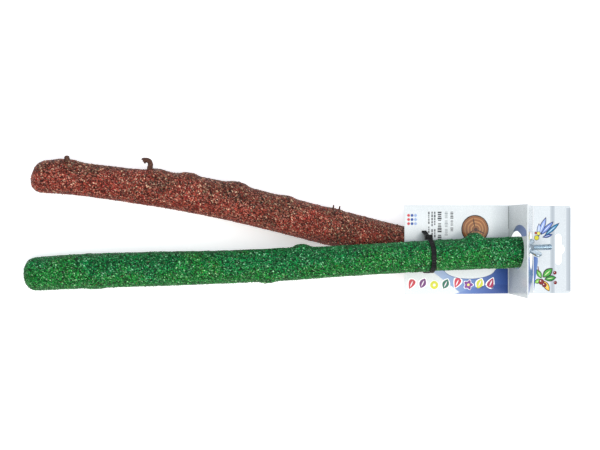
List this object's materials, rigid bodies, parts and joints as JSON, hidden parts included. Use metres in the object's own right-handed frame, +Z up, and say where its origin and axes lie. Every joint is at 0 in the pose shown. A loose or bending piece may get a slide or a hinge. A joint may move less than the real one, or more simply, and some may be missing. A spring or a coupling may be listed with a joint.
{
  "type": "bird perch set",
  "caption": "Grit-coated natural branch perches with hanger bolts, washers and wing nuts, tied on a folded hang card with a tent and a hanging slot.",
  "frame": {"origin": "centre of the bounding box on the table under the set", "axes": "+X along the branches towards the bolts and the hanging slot, +Y across the card, +Z up"},
  "size_m": [0.5436, 0.1368, 0.1003],
  "materials": {
    "branch_wood": "sawn softwood",
    "green_grit": "rough resin-bonded grit",
    "red_grit": "rough resin-bonded grit",
    "plated_steel": "bright zinc plate",
    "twig_bark": "dry bark",
    "printed_board": "gloss varnished",
    "black_nylon": "moulded satin"
  },
  "bodies": {
    "root": {"green_wood_core": "branch_wood", "green_grit_coat": "green_grit", "green_hanger_bolt": "plated_steel", "green_inner_washer": "plated_steel", "hang_card": "printed_board", "cable_tie": "black_nylon"},
    "header": {"card_header": "printed_board"},
    "red_perch": {"red_wood_core": "branch_wood", "red_grit_coat": "red_grit", "red_hanger_bolt": "plated_steel", "red_inner_washer": "plated_steel", "red_curled_twig": "twig_bark", "red_bud_stubs": "twig_bark"},
    "green_washer": {"green_outer_washer": "plated_steel"},
    "green_nut": {"green_wing_nut": "plated_steel"},
    "red_washer": {"red_outer_washer": "plated_steel"},
    "red_nut": {"red_wing_nut": "plated_steel"}
  },
  "joints": [
    {"name": "header_fold", "type": "hinge", "parent": "root", "child": "header", "pos_m": [0.2316, -0.02198, 0.05748], "axis": [0, 1, 0], "range_deg": [-4, 55]},
    {"name": "red_perch_swing", "type": "hinge", "parent": "root", "child": "red_perch", "pos_m": [0.12061, -0.02195, 0.02005], "axis": [0, 0, 1], "range_deg": [-3, 3.5]},
    {"name": "green_washer_travel", "type": "slide", "parent": "root", "child": "green_washer", "axis": [0.9922, 0.0349, 0.1194], "range_m": [0, 0.0115]},
    {"name": "green_wing_nut_turn", "type": "hinge", "parent": "green_washer", "child": "green_nut", "pos_m": [0.21791, -0.01966, 0.07307], "axis": [0.9922, 0.0349, 0.1194], "range_deg": [0, 4050]},
    {"name": "red_washer_travel", "type": "slide", "parent": "red_perch", "child": "red_washer", "axis": [0.9826, -0.1857, 0], "range_m": [0, 0.0115]},
    {"name": "red_wing_nut_turn", "type": "hinge", "parent": "red_washer", "child": "red_nut", "pos_m": [0.21958, -0.04026, 0.02005], "axis": [0.9826, -0.1857, 0], "range_deg": [0, 4050]}
  ],
  "couplings": [
    {"joint": "green_washer_travel", "follows": "green_wing_nut_turn", "m_per_rad": 0.00015915},
    {"joint": "red_washer_travel", "follows": "red_wing_nut_turn", "m_per_rad": 0.00015915}
  ]
}
